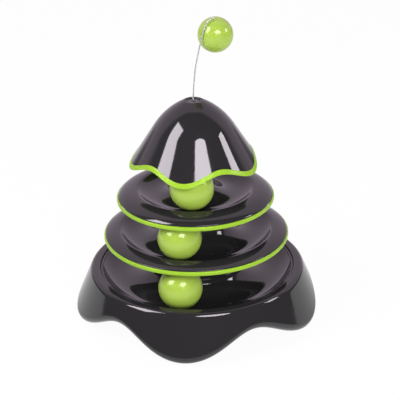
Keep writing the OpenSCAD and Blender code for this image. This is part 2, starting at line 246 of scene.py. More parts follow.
def pad_rubber():
    """Matt rubber with a fine grain."""
    made, tree, surface, place = shader("pad_rubber")
    grain = node(tree, "ShaderNodeTexNoise", {"Vector": place, "Scale": 1500.0, "Detail": 3.0})
    shade = two_tone(tree, grain.outputs[0], (0.010, 0.010, 0.010, 1), (0.022, 0.022, 0.022, 1))
    relief = node(tree, "ShaderNodeBump", {"Height": grain.outputs[0], "Strength": 0.3, "Distance": 0.0003})
    tree.links.new(shade, surface.inputs["Base Color"])
    tree.links.new(relief.outputs[0], surface.inputs["Normal"])
    surface.inputs["Roughness"].default_value = 0.75
    return made


STEEL = drawn_steel()
RUBBER = pad_rubber()
print("wire and pads:", STEEL.name, RUBBER.name)

# %% [markdown]
# ## A lathe that can wave
# Base, tracks, rims, dome and balls are all turned shapes, and three of them have an edge that rises and
# falls round the tower. One Geometry Nodes tree makes them all. Each vertex of a profile holds a radius
# to add, a share of the wave and a height to add. The tree lays a grid, looks up the profile row for
# each of its vertices, and bends it round the axis, so lobes and arches are numbers on the modifier.

# %% The waving lathe


def position(tree):
    """The position of each vertex that a tree works on."""
    return node(tree, "GeometryNodeInputPosition").outputs[0]


def split(tree, vector):
    """The three parts of a vector."""
    return node(tree, "ShaderNodeSeparateXYZ", {0: vector}).outputs


def coated(tree, geometry, material):
    """The end of every tree: real geometry, and its material."""
    real = node(tree, "GeometryNodeRealizeInstances", {0: geometry}).outputs[0]
    return node(tree, "GeometryNodeSetMaterial", {"Geometry": real, "Material": material}).outputs[0]


def waving_lathe():
    """Tree that turns a profile round Z, with an edge that waves."""
    tree, given, out = new_tree(
        "waving_lathe", "GeometryNodeTree",
        [("Profile", "NodeSocketGeometry"), ("Steps", "NodeSocketInt"), ("Lobes", "NodeSocketInt"),
         ("Turn", "NodeSocketFloat"), ("Upper", "NodeSocketFloat"), ("Lower", "NodeSocketFloat"),
         ("Arch", "NodeSocketFloat"), ("Breadth", "NodeSocketFloat"), ("Radius", "NodeSocketFloat"),
         ("Slope", "NodeSocketFloat"), ("Material", "NodeSocketMaterial")],
        [("Mesh", "NodeSocketGeometry")])
    rows = node(tree, "GeometryNodeAttributeDomainSize", {0: given["Profile"]}).outputs["Point Count"]
    sheet = node(tree, "GeometryNodeMeshGrid", {"Size X": 1.0, "Size Y": 1.0,
                                                "Vertices X": sum_up(tree, "ADD", given["Steps"], 1.0),
                                                "Vertices Y": sum_up(tree, "ADD", rows, 1.0)})
    spot = split(tree, position(tree))
    along = sum_up(tree, "MULTIPLY", sum_up(tree, "ADD", spot[1], 0.5), rows)
    row = node(tree, "FunctionNodeFloatToInt", {0: along}, rounding_mode="ROUND").outputs[0]
    row = sum_up(tree, "FLOORED_MODULO", row, rows)
    look_up = node(tree, "GeometryNodeSampleIndex", {"Geometry": given["Profile"], "Index": row,
                                                     "Value": position(tree)}, data_type="FLOAT_VECTOR")
    added, share, rise = split(tree, look_up.outputs[0])
    angle = sum_up(tree, "MULTIPLY", sum_up(tree, "ADD", spot[0], 0.5), 2 * math.pi)
    phase = sum_up(tree, "MULTIPLY", sum_up(tree, "SUBTRACT", angle, given["Turn"]), given["Lobes"])

    def wave(times):
        swing = sum_up(tree, "COSINE", sum_up(tree, "MULTIPLY", phase, times))
        return sum_up(tree, "MULTIPLY", sum_up(tree, "SUBTRACT", 1.0, swing), 0.5)

    edge = sum_up(tree, "MULTIPLY_ADD", given["Arch"], wave(1.0), given["Lower"])
    edge = sum_up(tree, "MULTIPLY_ADD", given["Breadth"], wave(2.0), edge)
    depth = sum_up(tree, "SUBTRACT", edge, given["Upper"])
    level = sum_up(tree, "MULTIPLY_ADD", depth, share, given["Upper"])
    radius = sum_up(tree, "ADD", sum_up(tree, "MULTIPLY_ADD", given["Slope"], level, given["Radius"]), added)
    place = node(tree, "ShaderNodeCombineXYZ", {
        0: sum_up(tree, "MULTIPLY", radius, sum_up(tree, "SINE", angle)),
        1: sum_up(tree, "MULTIPLY", radius, sum_up(tree, "MULTIPLY", sum_up(tree, "COSINE", angle), -1.0)),
        2: sum_up(tree, "ADD", level, rise)})
    bent = node(tree, "GeometryNodeSetPosition", {"Geometry": sheet.outputs[0], "Position": place.outputs[0]})
    joined = node(tree, "GeometryNodeMergeByDistance", {"Geometry": bent.outputs[0], "Distance": 1e-6})
    smooth = node(tree, "GeometryNodeSetShadeSmooth", {"Geometry": joined.outputs[0]})
    tree.links.new(coated(tree, smooth.outputs[0], given["Material"]), out[0])
    return tree


LATHE = waving_lathe()
print("lathe tree with", len(LATHE.nodes), "nodes")

# %% [markdown]
# ## From tree to piece
# A tree grows its mesh on a seed, and the export wants plain meshes. So each result is copied out of the
# modifier and made an object of its own at the origin. A mesh whose faces point inwards has a negative
# volume, which is a quick way to find it and turn it round.

# %% Grow, turn and keep
STEPS, FINE_STEPS = 240, 360


def grown(name, seed, tree, **values):
    """Runs a tree on a seed mesh and keeps the result as a plain mesh object, faces outwards."""
    holder = bpy.data.objects.new(name + "_seed", seed)
    bpy.context.collection.objects.link(holder)
    modifier = holder.modifiers.new("grow", "NODES")
    modifier.node_group = tree
    sockets = {s.name: s.identifier for s in tree.interface.items_tree if s.in_out == "INPUT"}
    for label, value in values.items():
        modifier[sockets[label.replace("_", " ")]] = value
    evaluated = holder.evaluated_get(bpy.context.evaluated_depsgraph_get())
    mesh = bpy.data.meshes.new_from_object(evaluated)
    holder.modifiers.remove(modifier)
    bpy.data.objects.remove(holder)
    mesh.name = name
    mesh.materials.clear()
    mesh.materials.append(values["Material"])
    mesh.polygons.foreach_set("material_index", [0] * len(mesh.polygons))
    mesh.calc_loop_triangles()
    corner = [v.co for v in mesh.vertices]
    faces = [t.vertices for t in mesh.loop_triangles]
    if sum(corner[a].dot(corner[b].cross(corner[c])) for a, b, c in faces) < 0:
        mesh.flip_normals()
    piece = bpy.data.objects.new(name, mesh)
    bpy.context.collection.objects.link(piece)
    return piece


def turned(name, rows, material, **values):
    """A lathe piece from rows of (radius, height), or (radius, share, height), in millimetres."""
    rows = [r if len(r) == 3 else (r[0], 0.0, r[1]) for r in rows]
    seed = bpy.data.meshes.new(name + "_rows")
    seed.from_pydata([(r * MM, share, z * MM) for r, share, z in rows], [], [])
    still = ("Turn", "Upper", "Lower", "Arch", "Breadth", "Radius", "Slope")
    settings = {"Steps": STEPS, "Lobes": 0, **{label: 0.0 for label in still}, "Material": material}
    settings.update(values)
    return grown(name, seed, LATHE, **settings)


def keep(piece, body, slot, *nodes):
    """The finished piece rides on its body and stands for its CAD nodes; its slot is not used."""
    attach(piece, body)
    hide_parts(*nodes)
    print(f"{piece.name}: {len(piece.data.vertices)} vertices on {body}")


print("a whole turn has", STEPS, "or", FINE_STEPS, "steps")

# %% [markdown]
# ## Profiles with soft corners
# A moulding has no sharp edge: every corner has a small radius, and that radius is what catches the light.
# A profile is written as plain corners and arcs, and each corner says how far its rounding reaches.

# %% Profile helpers


def arc(centre, radius, start, end, count=24):
    """Points on an arc between two angles in degrees."""
    angles = [math.radians(start + (end - start) * i / count) for i in range(count + 1)]
    return [(centre[0] + radius * math.cos(a), centre[1] + radius * math.sin(a)) for a in angles]


def bend(a, b, c, count=6):
    """Points on the curve that leaves a towards b and arrives at c."""
    times = [i / count for i in range(count + 1)]
    shares = [((1 - t) ** 2, 2 * t * (1 - t), t * t) for t in times]
    return [tuple(x * p + y * q + z * r for p, q, r in zip(a, b, c)) for x, y, z in shares]


def softened(loop, support=0.2):
    """Closed profile whose corners, given as (radius, height, reach), are rounded."""
    points = [p[:2] for p in loop]
    reach = [p[2] if len(p) > 2 else 0.0 for p in loop]
    steps = [math.dist(a, b) for a, b in zip(points, points[1:] + points[:1])]
    total = sum(steps)
    marks = [sum(steps[:i]) for i in range(len(points))]

    def at(distance):
        distance %= total
        i = max(k for k in range(len(marks)) if marks[k] <= distance)
        t = (distance - marks[i]) / steps[i] if steps[i] else 0.0
        a, b = points[i], points[(i + 1) % len(points)]
        return (a[0] + (b[0] - a[0]) * t, a[1] + (b[1] - a[1]) * t)

    def swallowed(mark):
        gaps = [(min((mark - m) % total, (m - mark) % total), r) for m, r in zip(marks, reach) if r]
        return any(gap < r + support for gap, r in gaps)

    rounded = []
    for point, mark, r in zip(points, marks, reach):
        if r:
            curve = bend(at(mark - r), point, at(mark + r))
            rounded += [at(mark - r - support), *curve, at(mark + r + support)]
        elif not swallowed(mark):
            rounded.append(point)
    return rounded


print("a square with soft corners has", len(softened([(0, 0, 1), (9, 0, 1), (9, 9, 1), (0, 9, 1)])), "points")

# %% [markdown]
# ## The base shell
# The shell is a straight skirt. Its rim is flat near the seam, turns over a tight shoulder and runs down to
# an edge that curls inwards and arches between the feet. The rim rows have no share of the wave, the skirt
# rows have more and more of it, and the curled edge has all of it. Slope moves them out on their way down.

# %% Base shell
LOBES = 5
SHOULDER_R, FOOT_R, SHOULDER_Z, RIM_Z = 101.6, 119.45, 41.0, 45.0
ARCH_H, LOBE_BREADTH, FLOOR_GAP = 21.3, -1.2, 0.3
EDGE_ROLL, ROLL_H, EDGE_T, SHELL_T = 8.0, 8.0, 2.4, 2.8
SEAM_R, COLLAR_T, COLLAR_Z, LEDGE_R, LEDGE_Z = 91.6, 2.4, 34.6, 88.6, 37.0
FLAT_R, CORNER_R, LIP, INNER_LEAN = 97.0, 99.9, 1.1, 1.5
SKIRT_STEPS, CURL_STEPS, INNER_STEPS = 30, 12, 8


def shell_rows():
    """Rows round the shell's wall: rim, shoulder, skirt, curled edge, inner wall, collar."""
    top = (SHOULDER_R, SHOULDER_Z)
    lip = bend((SEAM_R, RIM_Z - LIP), (SEAM_R, RIM_Z), (SEAM_R + LIP, RIM_Z))
    shoulder = bend((FLAT_R, RIM_Z), (CORNER_R, RIM_Z), top, 14)
    rows = [(r - top[0], 0.0, z - top[1]) for r, z in lip + shoulder]
    rows += [(0.0, i / SKIRT_STEPS, 0.0) for i in range(1, SKIRT_STEPS + 1)]
    for i in range(1, CURL_STEPS + 1):
        t = math.radians(90 * i / CURL_STEPS)
        rows.append((-EDGE_ROLL * (1 - math.cos(t)), 1.0, -ROLL_H * math.sin(t)))
    for i in range(INNER_STEPS, -1, -1):
        t = math.radians(90 * i / INNER_STEPS)
        inwards = -SHELL_T - (EDGE_ROLL - SHELL_T) * (1 - math.cos(t))
        rows.append((inwards, 1.0, -(ROLL_H - EDGE_T) * math.sin(t)))
    for up in [i / CURL_STEPS for i in range(1, CURL_STEPS + 1)]:
        rows.append((-SHELL_T + INNER_LEAN * up, 1 - up, -EDGE_T * up))
    collar = [(SEAM_R + COLLAR_T, RIM_Z - EDGE_T), (SEAM_R + COLLAR_T, COLLAR_Z), (LEDGE_R, COLLAR_Z),
              (LEDGE_R, LEDGE_Z), (SEAM_R, LEDGE_Z)]
    return rows + [(r - top[0], 0.0, z - top[1]) for r, z in collar]


shell = turned("base_shell_skin", shell_rows(), BLACK, Steps=FINE_STEPS, Lobes=LOBES,
               Upper=SHOULDER_Z * MM, Lower=(FLOOR_GAP + ROLL_H) * MM, Arch=ARCH_H * MM,
               Breadth=LOBE_BREADTH * MM, Radius=FOOT_R * MM, Slope=(SHOULDER_R - FOOT_R) / SHOULDER_Z)
keep(shell, "tower_base", "black_plastic", "base_shell")

# %% [markdown]
# ## The tracks
# Each track is a trough for a ball. A ridge stands outside it and a hollow hub inside it, and the hub carries
# the next tier on a seat with a spigot. The trough is an arc through its floor and its ridge, so a few sizes
# for each track are enough, and the same functions draw all three.

# %% Trough and hub
WALL, HUB_FOOT_REACH, HUB_TOP_REACH, BORE_STEP = 2.4, 2.2, 0.6, 0.4
FIT_PLAY, SPIGOT_LEN, SEAT_H, SEAT_W, SEAT_LAP, RIM_COVER = 0.06, 12.0, 5.0, 6.9, 1.0, 1.4
LOWER = {"path": 67.5, "floor": 33.0, "ridge": (89.0, 43.0), "hub": (44.0, 70.0)}
MIDDLE = {"path": 52.5, "floor": 75.0, "ridge": (71.0, 83.0), "hub": (29.5, 112.0),
          "rim": 86.2, "drop": 3.8, "slope": 31.0}
UPPER = {"path": 36.0, "floor": 117.0, "ridge": (53.6, 123.0), "hub": (13.0, 172.0),
         "rim": 72.8, "drop": 6.6, "slope": 55.0}


def arc_radius(run, rise):
    """Radius of an arc that leaves a level line and ends run away and rise higher."""
    return (run * run + rise * rise) / (2 * rise)


def trough(track):
    """Radius and centre of a track's trough, and the angles at which it meets ridge and hub."""
    run = track["ridge"][0] - track["path"]
    radius = arc_radius(run, track["ridge"][1] - track["floor"])
    outer = math.degrees(math.asin(run / radius))
    inner = math.degrees(math.asin((track["path"] - track["hub"][0]) / radius))
    return radius, (track["path"], track["floor"] + radius), outer, inner


def hub_rows(track, foot):
    """The hub's wall, up from its foot, over its top and down inside."""
    r, top = track["hub"]
    return [(r, foot, HUB_FOOT_REACH), (r, top, HUB_TOP_REACH), (r - WALL, top, HUB_TOP_REACH)]


def underside(track, start, end, count=28):
    """Points on the trough's lower face between two radii."""
    radius, centre, _, _ = trough(track)
    radii = [start + (end - start) * i / count for i in range(count + 1)]
    return [(r, centre[1] - math.sqrt((radius + WALL) ** 2 - (r - centre[0]) ** 2)) for r in radii]


for track_name, sizes in (("lower", LOWER), ("middle", MIDDLE), ("upper", UPPER)):
    print(track_name, "trough has a radius of", round(trough(sizes)[0], 1), "mm")

# %% [markdown]
# ## The lowest track
# The lowest track sits inside the shell, on a ledge, and ends in a small bead beside the seam. The bead and
# the fine gap next to it make the double line that shows at the base's rim. A line could be painted there,
# but a real gap keeps its shadow from every side.

# %% Lowest track
BEAD_GAP, BEAD_RISE, BEAD_STEP = 0.1, 0.65, 0.35


def base_track_rows():
    """Section of the lowest track, from its bead inwards and back underneath."""
    radius, centre, outer, inner = trough(LOWER)
    ridge_r, ridge_z = LOWER["ridge"]
    bead_r, bead_z = SEAM_R - BEAD_GAP, ridge_z + BEAD_RISE
    basin = arc(centre, radius, -90 + outer, -90 - inner, 48)
    rows = [(bead_r, LEDGE_Z, 0.3), (bead_r, bead_z, 0.9), (ridge_r + BEAD_STEP, bead_z, 0.5)]
    rows += [(ridge_r, ridge_z, 0.3)] + basin[1:-1] + hub_rows(LOWER, basin[-1][1])
    rows += underside(LOWER, LOWER["hub"][0] - WALL + BORE_STEP, ridge_r) + [(ridge_r, LEDGE_Z, 0.3)]
    return softened(rows, 0.12)


base_track = turned("base_track_skin", base_track_rows(), BLACK)
keep(base_track, "tower_base", "black_plastic", "base_track")

# %% [markdown]
# ## The two dishes
# The middle and upper tracks are dishes. Outside the ridge each has a flange that rolls down to its edge, and
# the slope at that edge decides where it catches the light. An ellipse can be given its height, its width
# and that slope at once, where an arc of a circle could not. Ridge and hub are rounded for the hand.

# %% Dishes
RIDGE_REACH = 2.2


def brow(track, count=24):
    """Points on a dish's flange from its edge up to its ridge, on an ellipse with the edge's slope."""
    ridge_r, ridge_z = track["ridge"]
    run, drop = track["rim"] - RIM_COVER - ridge_r, track["drop"]
    level = 1 / (math.tan(math.radians(track["slope"])) * run / drop - 1)
    wide, tall = run / math.sqrt(1 - level ** 2), drop / (1 - level)
    turns = [math.acos(level) * (1 - i / count) for i in range(count + 1)]
    return [(ridge_r + wide * math.sin(t), ridge_z - tall * (1 - math.cos(t))) for t in turns]


def dish_rows(track, below):
    """Section of a dish, from its flange's edge inwards, over the hub and back under its seat."""
    radius, centre, outer, inner = trough(track)
    ridge_r, ridge_z = track["ridge"]
    edge_r = track["rim"] - RIM_COVER
    fall = arc_radius(edge_r - ridge_r, track["drop"])
    swing = math.degrees(math.asin((edge_r - ridge_r) / fall))
    crest = (ridge_r, ridge_z - fall)
    basin = arc(centre, radius, -90 + outer, -90 - inner, 48)
    bore, seat_z = below["hub"][0] - WALL, below["hub"][1]
    ring_in, ring_out = bore - WALL - SEAT_LAP, bore - WALL - SEAT_LAP + SEAT_W
    spigot = bore - FIT_PLAY
    ring_top = min(seat_z + SEAT_H, underside(track, ring_in, ring_in, 1)[0][1])
    hang = centre[0] - math.sqrt((radius + WALL) ** 2 - (centre[1] - ring_top) ** 2)
    rows = brow(track)[:-1] + [(ridge_r, ridge_z, RIDGE_REACH)] + basin[1:-1]
    rows += hub_rows(track, basin[-1][1])
    rows += underside(track, track["hub"][0] - WALL + BORE_STEP, max(hang, ring_in), 12)
    rows += [(ring_in, ring_top - 0.01), (ring_in, seat_z), (spigot - WALL, seat_z - 0.5),
             (spigot - WALL, seat_z - SPIGOT_LEN, 0.5), (spigot, seat_z - SPIGOT_LEN, 0.8), (spigot, seat_z),
             (ring_out, seat_z, 0.4)]
    rows += underside(track, ring_out, ridge_r + 0.9, 24)
    return softened(rows + arc(crest, fall - WALL, 88, 90 - swing, 18), 0.12)


for tier, track, below in (("middle", MIDDLE, LOWER), ("upper", UPPER, MIDDLE)):
    dish = turned(tier + "_track_skin", dish_rows(track, below), BLACK)
    keep(dish, tier + "_tier", "black_plastic", tier + "_track")

# %% [markdown]
# ## Posts under the base
# The base stands on posts that grow down from the lowest trough, one for each foot. They are the same post
# repeated round a ring, so Geometry Nodes place them, and a rule then trims each top to the trough's curve.
# The pads under the posts have the right shape in the CAD model, so they stay and only get their rubber.

# %% Posts
POST_RING, POST_R, POST_FOOT_Z, POST_HEAD_Z = 82.0, 5.0, 2.6, 42.0


def ring_of_posts():
    """Tree that stands posts on a ring and trims their tops to a trough."""
    tree, given, out = new_tree(
        "ring_of_posts", "GeometryNodeTree",
        [("Seed", "NodeSocketGeometry"), ("Count", "NodeSocketInt"), ("Ring", "NodeSocketFloat"),
         ("Post", "NodeSocketFloat"), ("Bottom", "NodeSocketFloat"), ("Top", "NodeSocketFloat"),
         ("Path", "NodeSocketFloat"), ("Centre", "NodeSocketFloat"), ("Trough", "NodeSocketFloat"),
         ("Material", "NodeSocketMaterial")],
        [("Mesh", "NodeSocketGeometry")])
    tall = sum_up(tree, "SUBTRACT", given["Top"], given["Bottom"])
    ring = node(tree, "GeometryNodeMeshCircle", {"Vertices": given["Count"], "Radius": given["Ring"]})
    middle = sum_up(tree, "MULTIPLY_ADD", tall, 0.5, given["Bottom"])
    lift = node(tree, "ShaderNodeCombineXYZ", {2: middle}).outputs[0]
    lifted = node(tree, "GeometryNodeTransform", {"Geometry": ring.outputs[0], "Translation": lift,
                                                  "Rotation": (0, 0, -math.pi / 2)})
    post = node(tree, "GeometryNodeMeshCylinder", {"Vertices": 40, "Radius": given["Post"], "Depth": tall})
    stood = node(tree, "GeometryNodeInstanceOnPoints", {"Points": lifted.outputs[0],
                                                        "Instance": post.outputs[0]})
    real = node(tree, "GeometryNodeRealizeInstances", {0: stood.outputs[0]})
    x, y, z = split(tree, position(tree))
    out_r = sum_up(tree, "SQRT", sum_up(tree, "MULTIPLY_ADD", x, x, sum_up(tree, "MULTIPLY", y, y)))
    away = sum_up(tree, "SUBTRACT", out_r, given["Path"])
    reach = sum_up(tree, "MULTIPLY", given["Trough"], given["Trough"])
    drop = sum_up(tree, "SQRT", sum_up(tree, "SUBTRACT", reach, sum_up(tree, "MULTIPLY", away, away)))
    trimmed = sum_up(tree, "MINIMUM", z, sum_up(tree, "SUBTRACT", given["Centre"], drop))
    place = node(tree, "ShaderNodeCombineXYZ", {0: x, 1: y, 2: trimmed}).outputs[0]
    placed = node(tree, "GeometryNodeSetPosition", {"Geometry": real.outputs[0], "Position": place})
    tree.links.new(coated(tree, placed.outputs[0], given["Material"]), out[0])
    return tree


def coat_node(name, material):
    """Gives a CAD node that stays in the picture its own material."""
    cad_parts[name].data.materials.clear()
    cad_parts[name].data.materials.append(material)


trough_r, trough_centre, _, _ = trough(LOWER)
posts = grown("base_posts_skin", bpy.data.meshes.new("post_seed"), ring_of_posts(), Count=LOBES,
              Ring=POST_RING * MM, Post=POST_R * MM, Bottom=POST_FOOT_Z * MM, Top=POST_HEAD_Z * MM,
              Path=trough_centre[0] * MM, Centre=trough_centre[1] * MM,
              Trough=(trough_r + WALL / 2) * MM, Material=BLACK)
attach(posts, "tower_base")
coat_node("foot_pads", RUBBER)
print("posts:", len(posts.data.polygons), "faces")

# %% [markdown]
# ## The lime rims
# A rounded lime band is hooked over the edge of each dish. It sits a little below the black edge, so it shows
# from the front and hides behind the dish at the back, as in the photograph. It could be a bent pipe, but a
# section on the lathe also gets the hook that holds it.

# %% Rim bands
BAND_H, BAND_T, BAND_SINK, BAND_PLAY = 4.0, 2.6, 0.4, 0.05


def band_rows(track):
    """Section of a rim band: a round outer face and a hook under the flange."""
    ridge_r, ridge_z = track["ridge"]
    edge_r, rim_r = track["rim"] - RIM_COVER, track["rim"]
    top = ridge_z - track["drop"] - BAND_SINK
    fall = arc_radius(edge_r - ridge_r, track["drop"]) - WALL - BAND_PLAY
    half = BAND_T / 2
    upper, lower = (rim_r - half, top - half), (rim_r - half, top - BAND_H + half)
    rows = [(edge_r + BAND_PLAY, top - BAND_PLAY)]
    rows += arc(upper, half, 88, 0, 10) + arc(lower, half, 0, -175, 18)
    hook = [rim_r - BAND_T + 0.02 + (edge_r - rim_r + BAND_T) * i / 5 for i in range(6)]
    base_z = ridge_z - fall - WALL - BAND_PLAY
    return rows + [(r, base_z + math.sqrt(fall ** 2 - (r - ridge_r) ** 2)) for r in hook]


for tier, track in (("middle", MIDDLE), ("upper", UPPER)):
    band = turned(tier + "_rim_skin", band_rows(track), LIME_BAND, Steps=FINE_STEPS)
    keep(band, tier + "_tier", "lime_band", tier + "_rim")

# %% [markdown]
# ## The dome
# The dome is a cone with a bulging shoulder and a hole on top, and its lower edge waves. The cone rows take
# more and more of that wave in the lathe tree, which also moves them out on their way down. Inside, a boss
# goes down into the upper track's hub and holds the plug.

# %% Dome
CONE = math.radians(32.6)
APEX_Z, CAP_R, DOME_TOP_Z, HOLE_R = 241.0, 68.0, 208.2, 8.0
DOME_EDGE_Z, WAVE_H, DOME_TURN = 153.2, 4.3, math.radians(-3.7)
BOSS_R, BOSS_Z, PLUG_SEAT_Z, PLUG_STEP, COLLAR_H, DOME_SHORT = 10.6, 152.0, 190.0, 2.0, 2.5, 1.0
LIP_H, LIP_ANGLE, COLLAR_CUT, BOSS_CUT, CONE_STEPS = 0.9, 0.7, 0.4, 0.8, 24


def cone_at(z):
    """Radius of the dome's cone at a height."""
    return (APEX_Z - z) * math.tan(CONE)


def shoulder_arc():
    """Centre of the shoulder's arc, and the height at which it runs into the cone."""
    out, down = Vector((math.cos(CONE), math.sin(CONE))), Vector((math.sin(CONE), -math.cos(CONE)))
    hole = Vector((HOLE_R, DOME_TOP_Z - APEX_Z))
    along = hole.dot(down) + math.sqrt(CAP_R ** 2 - (hole.dot(out) + CAP_R) ** 2)
    return Vector((0, APEX_Z)) - CAP_R * out + along * down, APEX_Z + along * down[1]


CAP_CENTRE, JOIN_Z = shoulder_arc()
CAP_END = math.degrees(math.acos((HOLE_R - CAP_CENTRE[0]) / CAP_R))
WALL_ACROSS = WALL / math.cos(CONE)


def dome_rows():
    """Rows round the dome's wall, from the hole's rim down outside, up inside and down the boss."""
    cone = math.degrees(CONE)
    cap = arc(CAP_CENTRE, CAP_R, CAP_END - LIP_ANGLE, cone, 40)
    lip = bend((HOLE_R, DOME_TOP_Z - LIP_H), (HOLE_R, DOME_TOP_Z), cap[0], 5)
    inner = [p for p in arc(CAP_CENTRE, CAP_R - WALL, cone, CAP_END, 40) if p[0] > BOSS_R]
    hub_r, hub_z = UPPER["hub"]
    collar_z, fit_r, bore_r = hub_z + COLLAR_H, BOSS_R - FIT_PLAY, HOLE_R - PLUG_STEP
    boss = [(BOSS_R, inner[-1][1]), (BOSS_R, collar_z), (hub_r - COLLAR_CUT, collar_z),
            (hub_r, collar_z - COLLAR_CUT), (hub_r, hub_z), (fit_r, hub_z), (fit_r, BOSS_Z + BOSS_CUT),
            (fit_r - BOSS_CUT, BOSS_Z), (bore_r, BOSS_Z), (bore_r, PLUG_SEAT_Z), (HOLE_R, PLUG_SEAT_Z)]

    def fixed(points):
        return [(r - cone_at(JOIN_Z), 0.0, z - JOIN_Z) for r, z in points]

    shares = [i / CONE_STEPS for i in range(1, CONE_STEPS + 1)]
    outside = [(0.0, share, 0.0) for share in shares]
    inside = [(-WALL_ACROSS, share, 0.0) for share in reversed(shares)]
    return fixed(lip[:-1] + cap) + outside + inside + fixed(inner + boss)


WAVE = {"Steps": FINE_STEPS, "Lobes": LOBES, "Turn": DOME_TURN, "Arch": 2 * WAVE_H * MM,
        "Radius": APEX_Z * math.tan(CONE) * MM, "Slope": -math.tan(CONE)}
dome = turned("dome_cap_skin", dome_rows(), BLACK, Upper=JOIN_Z * MM,
              Lower=(DOME_EDGE_Z - WAVE_H - DOME_SHORT) * MM, **WAVE)
keep(dome, "dome", "black_plastic", "dome_cap")

# %% [markdown]
# ## The wavy band
# A lime band is pushed over the dome's edge and follows its wave. All its rows take the whole wave, and the
# lathe tree moves them out along the cone as they sink, so the band never leaves it. A groove in its top
# takes the dome's wall.

# %% Dome's band
DOME_BAND_H, BAND_OUT, BAND_IN, BAND_ROUND, BAND_LIP = 4.3, 0.2, 1.0, 1.0, 0.3


def dome_band_rows():
    """Rows round the wavy band: a round outer face, and a groove that takes the dome's edge."""
    half, back, edge = DOME_BAND_H / 2, -WALL - BAND_IN, -DOME_SHORT - BAND_PLAY

    def on_cone(out, rise):
        return (out / math.cos(CONE) - math.tan(CONE) * rise, 1.0, rise)

    face = bend((BAND_PLAY, half), (BAND_OUT, half), (BAND_OUT, half - BAND_LIP), 5)
    foot = bend((BAND_OUT, -half + BAND_ROUND), (BAND_OUT, -half), (BAND_OUT - BAND_ROUND, -half))
    heel = bend((back + BAND_ROUND, -half), (back, -half), (back, -half + BAND_ROUND))
    groove = [(back, half), (-WALL - BAND_PLAY, half), (-WALL - BAND_PLAY, edge), (BAND_PLAY, edge)]
    return [on_cone(*p) for p in face + foot + heel + groove]


dome_band = turned("dome_rim_skin", dome_band_rows(), LIME_BAND, Lower=(DOME_EDGE_Z - WAVE_H) * MM, **WAVE)
keep(dome_band, "dome", "lime_band", "dome_rim")

# %% [markdown]
# ## The plug
# A round plug closes the hole in the dome and holds the wire. It has a soft edge, a shallow ring pressed into
# its top and a small raised collar where the wire comes out. All of that is round, so one profile draws it.

# %% Plug
PLUG_R, PLUG_TOP_Z, WIRE_R, WIRE_FOOT_Z = 7.95, 207.6, 0.6, 194.0
WIRE_HOLE_R = WIRE_R + 0.02
COLLAR_TOP_Z, DISH_Z, RING_Z = PLUG_TOP_Z - 0.1, PLUG_TOP_Z - 0.6, PLUG_TOP_Z - 0.9
plug_rows = softened([
    (WIRE_HOLE_R, WIRE_FOOT_Z), (WIRE_HOLE_R, COLLAR_TOP_Z), (1.5, COLLAR_TOP_Z, 0.3), (1.8, DISH_Z, 0.2),
    (5.6, DISH_Z, 0.15), (5.8, RING_Z, 0.1), (6.2, RING_Z, 0.1), (6.4, PLUG_TOP_Z, 0.2),
    (PLUG_R, PLUG_TOP_Z, 0.5), (PLUG_R, PLUG_SEAT_Z), (0.0, PLUG_SEAT_Z), (0.0, WIRE_FOOT_Z)], 0.05)
keep(turned("wire_plug_skin", plug_rows, BLACK, Steps=96), "dome", "black_plastic", "wire_plug")

# %% [markdown]
# ## The balls
# Each ball is two hollow halves that meet at a fine seam. The halves are turned on the lathe about Z, with a
# tiny rounding at the seam, and their meshes are then moved to where the ball stands. The objects themselves
# stay at the origin, because the frame moves them from there.

# %% Track balls
BALL_R, BALL_T, BALL_SLACK, BALL_STEPS = 20.0, 1.8, 0.3, 144
SEAM_REACH, TONGUE_H, TONGUE_T, TONGUE_PLAY = 0.22, 3.0, 1.3, 0.1


def upper_half_rows(r, t, hole=0.0):
    """Section of a ball's upper half, with a hole at its pole if asked."""
    start, inner = math.degrees(math.acos(hole / r)), math.degrees(math.acos(hole / (r - t)))
    rows = arc((0, 0), r, start, 0, 44)[:-1] + [(r, 0.0, SEAM_REACH), (r - t, 0.0)]
    return softened(rows + arc((0, 0), r - t, 0, inner, 30)[1:], 0.1)


def lower_half_rows(r, t):
    """Section of the lower half, with the tongue that centres the upper one."""
    tongue = math.sqrt((r - t) ** 2 - TONGUE_H ** 2) - TONGUE_PLAY
    rows = arc((0, 0), r, -90, 0, 44)[:-1] + [(r, 0.0, SEAM_REACH), (tongue, 0.0), (tongue, TONGUE_H)]
    rows += [(tongue - TONGUE_T, TONGUE_H), (tongue - TONGUE_T, -TONGUE_H)]
    return softened(rows + [p for p in arc((0, 0), r - t, 0, -90, 30) if p[1] < -TONGUE_H - 0.2], 0.1)


def ball(r, t, matrix, body, upper_node, lower_node, hole=0.0):
    """Both halves of a ball, turned and moved to their place."""
    for node_name, rows in ((upper_node, upper_half_rows(r, t, hole)), (lower_node, lower_half_rows(r, t))):
        half = turned(node_name + "_skin", rows, LIME_BALL, Steps=BALL_STEPS)
        half.data.transform(matrix)
        keep(half, body, "lime_plastic", node_name)


def on_track(track, turn, tilt, swing):
    """Matrix that stands a ball in its trough, with its seam tilted."""
    place = Matrix.Translation((0, -track["path"] * MM, (track["floor"] + BALL_R + BALL_SLACK) * MM))
    lean = Matrix.Rotation(math.radians(swing), 4, "Z") @ Matrix.Rotation(math.radians(tilt), 4, "X")
    return Matrix.Rotation(math.radians(turn), 4, "Z") @ place @ lean


for name, track, turn, tilt, swing in (("lower", LOWER, -6, 62, 20), ("middle", MIDDLE, -9.6, 75, -35),
                                       ("upper", UPPER, 2, 80, 5)):
    ball(BALL_R, BALL_T, on_track(track, turn, tilt, swing), name + "_ball",
         name + "_ball_half_a", name + "_ball_half_b")

# %% [markdown]
# ## The ball on the wire
# The top ball is smaller, and a hole at its upper pole takes the wire. Its seam lies square to the wire's
# tip, so its halves are turned upright like the others and then leaned over to the tip's direction.

